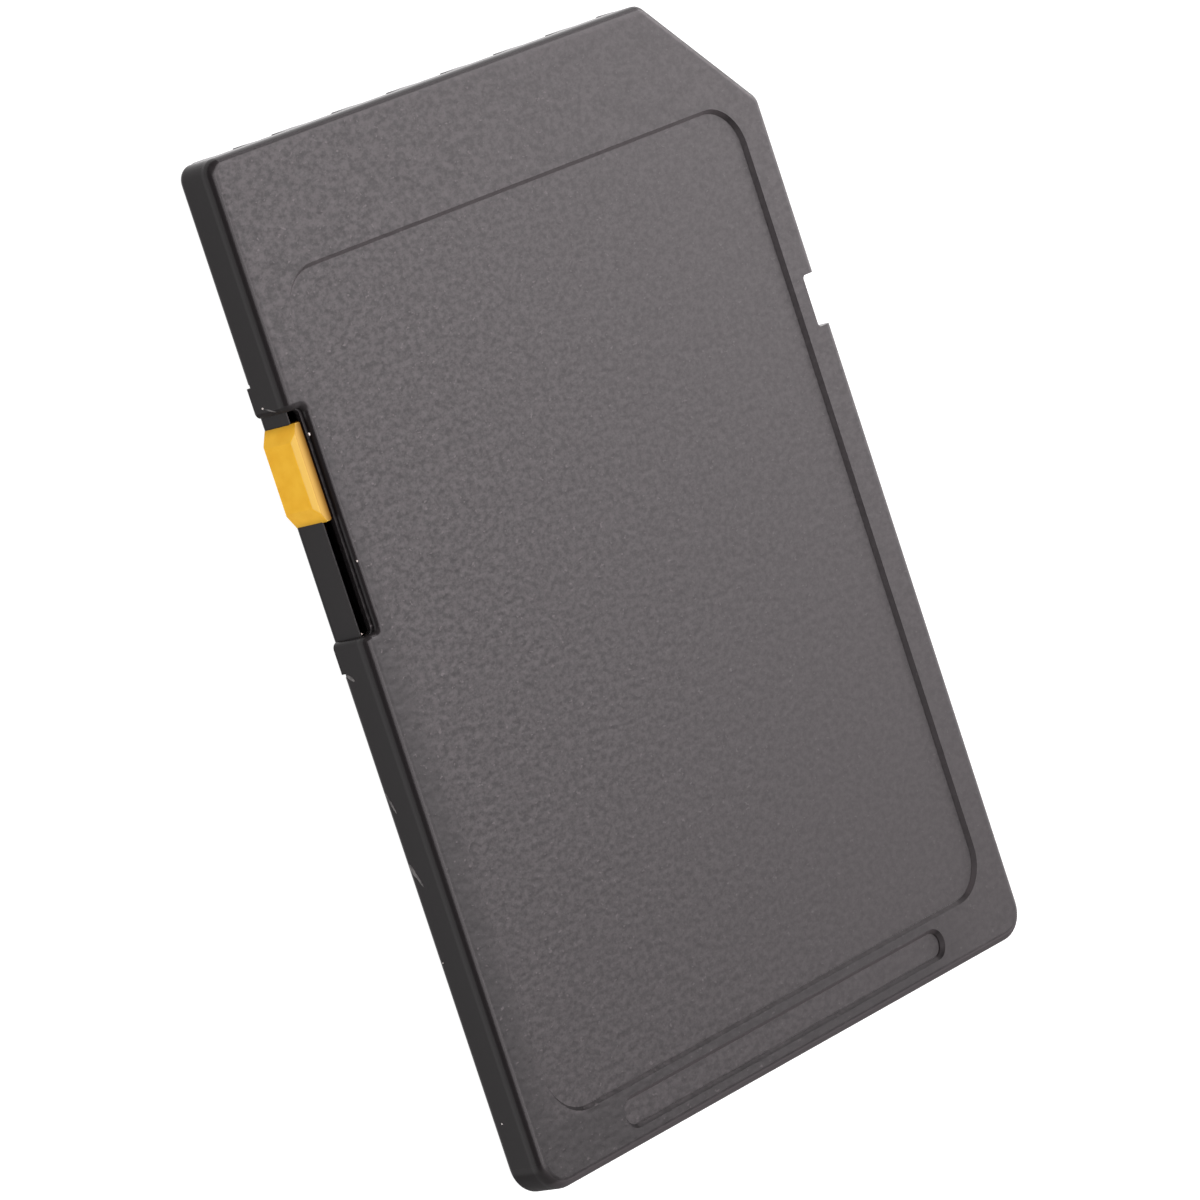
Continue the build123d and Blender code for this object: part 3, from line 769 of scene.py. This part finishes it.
def strips(starts: np.ndarray, ends: np.ndarray, width: float, thick: float, rows: int = 9, columns: int = 16,
           power: float = 4.0) -> np.ndarray:
    """Flat conductors: a rounded section carried from start to end along an S-shaped path.

    At the share u of its way a path has gone u of the way along Y and 3u^2 - 2u^3 of the way across X. The
    section is a superellipse: its point at angle a lies at half the width times cos a and half the thickness
    times sin a, where cos a and sin a keep their signs and are raised to 2 over the superellipse's power.
    Both ends are closed by shrinking the section to its middle.

    Args:
        starts: First point of each path.
        ends: Last point of each path.
        width: Width of the conductors.
        thick: Thickness of the conductors.
        rows: Points along a path.
        columns: Points round the section.
        power: Power of the superellipse: 2 is an ellipse, and more is squarer.

    Returns:
        Grids of points that wrap round their columns.
    """
    share = np.concatenate([[0.0], np.linspace(0.0, 1.0, rows), [1.0]])
    size = np.concatenate([[0.0], np.ones(rows), [0.0]])[None, :, None]
    eased = 3 * share ** 2 - 2 * share ** 3
    path = starts[:, None, :] + (ends - starts)[:, None, :] * points_at(eased, share, share)[None]
    cosine, sine = np.cos(circle(columns)), np.sin(circle(columns))
    x = np.sign(cosine) * np.abs(cosine) ** (2 / power) * width / 2
    z = np.sign(sine) * np.abs(sine) ** (2 / power) * thick / 2
    return path[:, :, None, :] + size[..., None] * points_at(x, 0.0, z)[None, None]


def rings(centres: np.ndarray, radius: float, wire: float, thick: float, rows: int = 20,
          columns: int = 8) -> np.ndarray:
    """Flat round collars: an ellipse turned about Z.

    At the turn s and the angle a, a point lies at the radius plus half the wire's width times cos a from the
    axis, in the direction (cos s, sin s), and at half the thickness times sin a above the centre.

    Args:
        centres: One row of x, y, z for each collar.
        radius: Radius of the collar's middle line.
        wire: Width of the collar's flat.
        thick: Thickness of the collar.
        rows: Points round the collar.
        columns: Points round the ellipse.

    Returns:
        Grids of points that wrap round their rows and columns.
    """
    turn, angle = np.meshgrid(circle(rows), circle(columns), indexing="ij")
    reach = radius + wire / 2 * np.cos(angle)
    shape = points_at(reach * np.cos(turn), reach * np.sin(turn), thick / 2 * np.sin(angle))
    return centres[:, None, None, :] + shape[None]


def corners(box: tuple[Vector, Vector]) -> list[list[float]]:
    """A box's lowest and highest corner as plain lists."""
    return [list(corner) for corner in box]


def dress(node: str, material: bpy.types.Material) -> None:
    """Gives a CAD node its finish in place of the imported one.

    Args:
        node: Name of the node.
        material: Its finish.
    """
    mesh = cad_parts[node].data
    mesh.materials.clear()
    mesh.materials.append(material)
    LOG.info("dressed %s in %s", node, material.name)


def finish_piece(piece: bpy.types.Object, material: bpy.types.Material) -> None:
    """Gives a new piece its finish, and lets it ride on the card.

    Args:
        piece: The new object.
        material: Its finish.
    """
    piece.data.materials.append(material)
    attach(piece, CARD_BODY)
    LOG.info("built %s with %d faces", piece.name, len(piece.data.polygons))


@dataclass
class Casing:
    """The two moulded covers, and the scrapes and dust on them, whose places and sizes are in millimetres."""

    wall_x: float = -12.0 * MM
    mouth_radius: float = 0.2 * MM
    mouth_y: float = 8.56 * MM
    foot_radius: float = 0.2 * MM
    foot_z: float = 0.9 * MM
    scrape_starts: list[tuple[float, float]] = field(default_factory=lambda: [
        (-5.38, 0.84), (-5.55, 0.915), (-3.18, 0.85), (0.46, 0.88), (8.63, 1.12)])
    scrape_ends: list[tuple[float, float]] = field(default_factory=lambda: [
        (-5.88, 1.01), (-6.17, 1.15), (-3.87, 1.045), (0.24, 1.13), (8.455, 1.55)])
    scrape_widths: tuple[float, ...] = (0.14, 0.09, 0.08, 0.12, 0.05)
    scrape_height: float = 0.012 * MM
    scrape_rows: int = 15
    dust_places: list[tuple[float, float, float]] = field(default_factory=lambda: [
        (-11.335, 7.533, 1.885), (-11.258, 3.58, 2.042), (-11.675, 1.515, 1.68), (-11.985, -8.50, 0.90),
        (-12.0, -13.576, 1.118), (-12.0, 8.65, 1.075)])
    dust_radii: tuple[float, ...] = (0.052, 0.034, 0.034, 0.030, 0.026, 0.036)
    dust_shape: Point = (0.7, 1.0, 0.9)
    shell_specular: float = 0.16

    def build(self) -> None:
        """Lays the scrapes on the side wall and scatters the dust."""
        start = in_metres(self.scrape_starts)
        end = in_metres(self.scrape_ends)
        share = np.linspace(0.0, 1.0, self.scrape_rows)[None, :, None]
        route = start[:, None, :] + (end - start)[:, None, :] * share
        y, z = route[..., 0], route[..., 1]
        out = np.tile([-1.0, 0.0, 0.0], (len(start), 1))
        height = np.full(len(start), self.scrape_height)
        points = ridges(points_at(self.wall_at(y, z), y, z), out, in_metres(self.scrape_widths), height)
        scrapes = grid_object("wall_scrapes", points, wrap_v=True)
        finish_piece(scrapes, RubbedPlastic().material())
        radii = in_metres(self.dust_radii)[:, None] * np.array(self.dust_shape)
        dust = grid_object("dust_grains", lumps(in_metres(self.dust_places), radii), wrap_v=True)
        finish_piece(dust, Dust().material())

    def wall_at(self, y: np.ndarray, z: np.ndarray) -> np.ndarray:
        """Place of the side wall along X.

        The wall is level, and a quarter circle rounds it off where the switch bay opens and another at the
        rail's foot.

        Args:
            y: Places along the card.
            z: Heights on the wall.

        Returns:
            X of the wall there.
        """
        into = np.where(y < self.mouth_y - self.mouth_radius, 0.0, self.mouth_y - y)
        into = into.clip(0.0, self.mouth_radius)
        below = (self.foot_z - z).clip(0.0, self.foot_radius)
        mouth = self.mouth_radius - np.sqrt(self.mouth_radius ** 2 - into ** 2)
        foot = self.foot_radius - np.sqrt(self.foot_radius ** 2 - below ** 2)
        return self.wall_x + mouth + foot

    def dress(self) -> None:
        """Gives both covers their moulded finish."""
        dress("label_side_cover", MouldedPlastic("charcoal_cover_plastic").material())
        shell = MouldedPlastic("charcoal_shell_plastic", specular=self.shell_specular)
        dress("contact_side_cover", shell.material())


@dataclass
class WriteProtectSwitch:
    """The yellow slider."""

    finish: SwitchPlastic = SwitchPlastic()

    def build(self) -> None:
        """Adds nothing: the slider's own solid has its whole shape."""

    def dress(self) -> None:
        """Gives the slider its yellow plastic."""
        dress("write_protect_switch", self.finish.material())


@dataclass
class ContactRow:
    """Nine gold contacts under the board, with their plating tails, tracks and plated holes."""

    count: int = 9
    tail_width: float = 0.22 * MM
    track_width: float = 0.30 * MM
    foil: float = 0.036 * MM
    board_face: float = 0.75 * MM
    board_front: float = 14.85 * MM
    cut_sum: float = 22.37 * MM
    window_back: float = 8.52 * MM
    overlap: float = 0.05 * MM
    hole_setback: float = 0.30 * MM
    hole_radius: float = 0.15 * MM
    collar: float = 0.14 * MM

    def build(self) -> None:
        """Runs a tail from each contact to the board's edge, and a track back to a plated hole."""
        boxes = np.array([corners(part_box(f"contact_pad_{n}")) for n in range(1, self.count + 1)])
        x = boxes[:, :, 0].mean(axis=1)
        rear, front = boxes[:, 0, 1], boxes[:, 1, 1]
        z = self.board_face - self.foil / 2
        edge = np.minimum(self.board_front, self.cut_sum - x - self.tail_width / 2)
        tails = strips(points_at(x, front - self.overlap, z), points_at(x, edge, z),
                       self.tail_width, self.foil)
        tracks = strips(points_at(x, self.window_back, z), points_at(x, rear + self.overlap, z),
                        self.track_width, self.foil)
        holes = points_at(x, rear - self.hole_setback, z - self.foil / 4)
        collars = rings(holes, self.hole_radius, self.collar, self.foil)
        gold = GOLD.material()
        for name, points, closed in (("plating_tails", tails, False), ("contact_tracks", tracks, False),
                                     ("plated_hole_collars", collars, True)):
            finish_piece(grid_object(name, points, wrap_u=closed, wrap_v=True), gold)

    def dress(self) -> None:
        """Gives each contact its gold."""
        gold = GOLD.material()
        for number in range(1, self.count + 1):
            dress(f"contact_pad_{number}", gold)


@dataclass
class BoardAssembly:
    """The circuit board with its chips, leads and passives, and the solder that holds them."""

    passive_count: int = 4
    half_body: float = 0.28 * MM
    lead_count: int = 24
    lead_pitch: float = 0.5 * MM
    lead_radii: Point = (0.17 * MM, 0.13 * MM, 0.09 * MM)
    lead_joint_columns: int = 10
    passive_radii: Point = (0.27 * MM, 0.12 * MM, 0.16 * MM)
    passive_joint_columns: int = 12
    joint_rows: int = 7
    joint_ripple: float = 0.05
    pin_mark_inset: float = 1.1 * MM
    pin_mark_radius: float = 0.4 * MM
    track_width: float = 0.14 * MM
    foil: float = 0.03 * MM

    def build(self) -> None:
        """Lays the solder joints, and the tracks that run from the resistors to the chips."""
        board_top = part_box("circuit_board")[1].z
        low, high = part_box("memory_chip_leads")
        x = (np.arange(self.lead_count) - (self.lead_count - 1) / 2) * self.lead_pitch
        toes = points_at(np.tile(x, 2), np.repeat([low.y, high.y], self.lead_count), board_top)
        ends = self.passive_ends(board_top)
        solder = SOLDER.material()
        for name, places, radii, columns in (
            ("lead_solder_joints", toes, self.lead_radii, self.lead_joint_columns),
            ("passive_solder_joints", ends, self.passive_radii, self.passive_joint_columns),
        ):
            sizes = np.tile(radii, (len(places), 1))
            joints = lumps(places, sizes, self.joint_rows, columns, self.joint_ripple)
            finish_piece(grid_object(name, joints, wrap_v=True), solder)
        self.build_tracks(high.y, board_top + self.foil / 4)

    def build_tracks(self, toe_y: float, level: float) -> None:
        """Runs a track from each resistor's rear end to a lead, and one from its front end to the controller.

        A lead stands at every odd half pitch from the middle, and a track goes to the lead nearest to its
        resistor.

        Args:
            toe_y: Y of the memory's front row of lead toes.
            level: Height of the tracks' middle.
        """
        boxes = np.array([corners(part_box(f"resistor_{n}")) for n in range(1, self.passive_count + 1)])
        x = boxes[:, :, 0].mean(axis=1)
        rear, front = boxes[:, 0, 1], boxes[:, 1, 1]
        toe_x = (np.round(x / self.lead_pitch - 0.5) + 0.5) * self.lead_pitch
        chip_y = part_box("controller_chip")[0].y
        starts = np.concatenate([points_at(toe_x, toe_y, level), points_at(x, front, level)])
        ends = np.concatenate([points_at(x, rear, level), points_at(x, chip_y, level)])
        piece = grid_object("bus_tracks", strips(starts, ends, self.track_width, self.foil), wrap_v=True)
        finish_piece(piece, COPPER.material())

    def passives(self) -> dict[str, PassiveKind]:
        """Names of the resistors and then the capacitors, with the kind of each."""
        numbers = range(1, self.passive_count + 1)
        return {f"{kind.name.lower()}_{n}": kind for kind in PassiveKind for n in numbers}

    def passive_ends(self, level: float) -> np.ndarray:
        """Middle of the foot of each passive's two ends.

        Args:
            level: Height of the feet.

        Returns:
            One row of x, y, z for each end.
        """
        boxes = np.array([corners(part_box(name)) for name in self.passives()])
        x = np.repeat(boxes[:, :, 0].mean(axis=1), 2)
        return points_at(x, boxes[:, :, 1].reshape(-1), level)

    def dress(self) -> None:
        """Gives the board and everything on it its finish."""
        dress("circuit_board", Laminate().material())
        dress("memory_chip_leads", TIN.material())
        for node in ("memory_chip", "controller_chip"):
            low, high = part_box(node)
            dot = (low.x + self.pin_mark_inset, high.y - self.pin_mark_inset)
            dress(node, ChipMoulding(f"{node}_moulding", dot, self.pin_mark_radius).material())
        for node, kind in self.passives().items():
            low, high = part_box(node)
            middle = (low.y + high.y) / 2
            dress(node, PassiveBody(f"{node}_finish", middle, self.half_body, *kind.value).material())


@dataclass(frozen=True)
class Softbox:
    """Rectangular studio light that faces the card, with its angles in degrees and its lengths in metres."""

    name: str
    azimuth: float
    elevation: float
    distance: float
    width: float
    height: float
    radiance: float
    colour: Colour = (1.04, 0.97, 1.0)

    def build(self) -> None:
        """Hangs the light.

        Its centre lies at its distance along the direction that its azimuth, counted from +X towards +Y, and
        its elevation give. Its power is pi times its area times the brightness that its face shows.
        """
        lamp = bpy.data.lights.new(self.name, "AREA")
        lamp.shape = "RECTANGLE"
        lamp.size = self.width
        lamp.size_y = self.height
        lamp.energy = math.pi * self.width * self.height * self.radiance
        lamp.color = self.colour
        light = bpy.data.objects.new(self.name, lamp)
        turn, tilt = math.radians(self.azimuth), math.radians(self.elevation)
        towards = Vector((math.cos(tilt) * math.cos(turn), math.cos(tilt) * math.sin(turn), math.sin(tilt)))
        light.location = towards * self.distance
        light.rotation_euler = towards.to_track_quat("Z", "Y").to_euler()
        light.visible_camera = False
        bpy.context.scene.collection.objects.link(light)


BROAD_LIGHTS = (
    Softbox("back_softbox", azimuth=15.0, elevation=52.0, distance=0.55,
            width=0.44, height=0.95, radiance=5.65),
    Softbox("low_backdrop", azimuth=0.0, elevation=14.0, distance=1.0,
            width=2.2, height=0.40, radiance=2.3),
    Softbox("top_softbox", azimuth=190.0, elevation=76.0, distance=0.55,
            width=0.45, height=0.36, radiance=4.6),
)
WEAK_LIGHTS = tuple(
    Softbox(name, azimuth=azimuth, elevation=30.0, distance=0.6, width=0.40, height=0.40, radiance=0.4)
    for name, azimuth in (("front_left_softbox", 118.0), ("rear_left_softbox", -118.0))
)


@dataclass
class Studio:
    """Pale floor, soft lights and the camera."""

    floor_half: float = 3.0
    floor_lines: int = 3
    floor_colour: Colour = (0.20, 0.20, 0.20)
    floor_mottle: float = 0.98
    floor_cloud: Grain = Grain(40 * MM)
    floor_roughness: float = 0.7
    floor_specular: float = 0.2
    floor_glow: float = 1.0
    glow_colour: Colour = (1.0, 1.0, 1.0)
    # Outline of the painted shadow under the card, where the floor does not glow
    shade_x: float = 10.9 * MM
    shade_y: float = 15.6 * MM
    shade_cut: float = 23.4 * MM
    shade_blur: float = 0.1 * MM
    ambient: Colour = (0.05, 0.05, 0.052)
    camera_place: Point = (-143.46 * MM, 21.69 * MM, 137.17 * MM)
    camera_aim: Point = (0.096 * MM, -0.815 * MM, 0.0)
    camera_roll: float = 18.17
    camera_near: float = 1 * MM
    camera_far: float = 100.0
    lens: float = 195.54
    sensor: float = 36.0

    def build(self) -> None:
        """Sets the floor, the light round the card and the camera."""
        self.build_floor()
        self.build_lights()
        self.build_camera()

    def build_floor(self) -> None:
        """Lays a level floor that glows white, with its glow cut out under the card as a painted shadow.

        The floor is a square: x and y run evenly over its half width, and z is 0.
        """
        line = np.linspace(-self.floor_half, self.floor_half, self.floor_lines)
        x, y = np.meshgrid(line, line, indexing="ij")
        floor = grid_object("studio_floor", points_at(x, y, 0.0)[None])
        nodes = Shading("pale_floor")
        cloud = nodes.rise(nodes.noise(self.floor_cloud), MIDDLE)
        mottled = tuple(self.floor_mottle * part for part in self.floor_colour)
        # Painted shadow under the card: the floor glows only outside the card's outline
        beside = nodes.beyond("X", 0.0, self.shade_x, self.shade_blur)
        behind = nodes.beyond("Y", 0.0, self.shade_y, self.shade_blur)
        along = nodes.math("ADD", nodes.axis("X"), nodes.axis("Y"))
        past_cut = nodes.rise(along, Step(self.shade_cut, self.shade_cut + self.shade_blur))
        nodes.surface(
            Base_Color=nodes.tint(cloud, mottled, self.floor_colour),
            Roughness=self.floor_roughness,
            Specular_IOR_Level=self.floor_specular,
            Emission_Color=self.glow_colour,
            Emission_Strength=nodes.product(nodes.highest(beside, behind, past_cut), self.floor_glow),
        )
        floor.data.materials.append(nodes.material)

    def build_lights(self) -> None:
        """Hangs the broad lights behind and above the card and the weak ones on its switch side."""
        for light in BROAD_LIGHTS + WEAK_LIGHTS:
            light.build()
        world = bpy.data.worlds.new("studio_air")
        world.use_nodes = True
        world.node_tree.nodes["Background"].inputs["Color"].default_value = (*self.ambient, 1.0)
        bpy.context.scene.world = world
        bpy.context.scene.view_settings.view_transform = "Standard"

    def build_camera(self) -> None:
        """Places the camera, upright along +Y and then rolled about its line of sight."""
        data = bpy.data.cameras.new("camera")
        data.lens = self.lens
        data.sensor_width = self.sensor
        data.clip_start = self.camera_near
        data.clip_end = self.camera_far
        camera = bpy.data.objects.new("camera", data)
        back = (Vector(self.camera_place) - Vector(self.camera_aim)).normalized()
        right = Vector((0.0, 1.0, 0.0)).cross(back).normalized()
        turn = Matrix((right, back.cross(right), back)).transposed()
        turn = turn @ Matrix.Rotation(math.radians(-self.camera_roll), 3, "Z")
        camera.matrix_world = Matrix.Translation(self.camera_place) @ turn.to_4x4()
        bpy.context.scene.collection.objects.link(camera)
        bpy.context.scene.camera = camera


def main() -> None:
    """Builds the studio and every sub-assembly of the card."""
    logging.basicConfig(level=logging.INFO, format="%(name)s: %(message)s")
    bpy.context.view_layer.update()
    for assembly in (Casing(), WriteProtectSwitch(), ContactRow(), BoardAssembly()):
        assembly.build()
        assembly.dress()
    Studio().build()


if __name__ == "__main__":
    main()
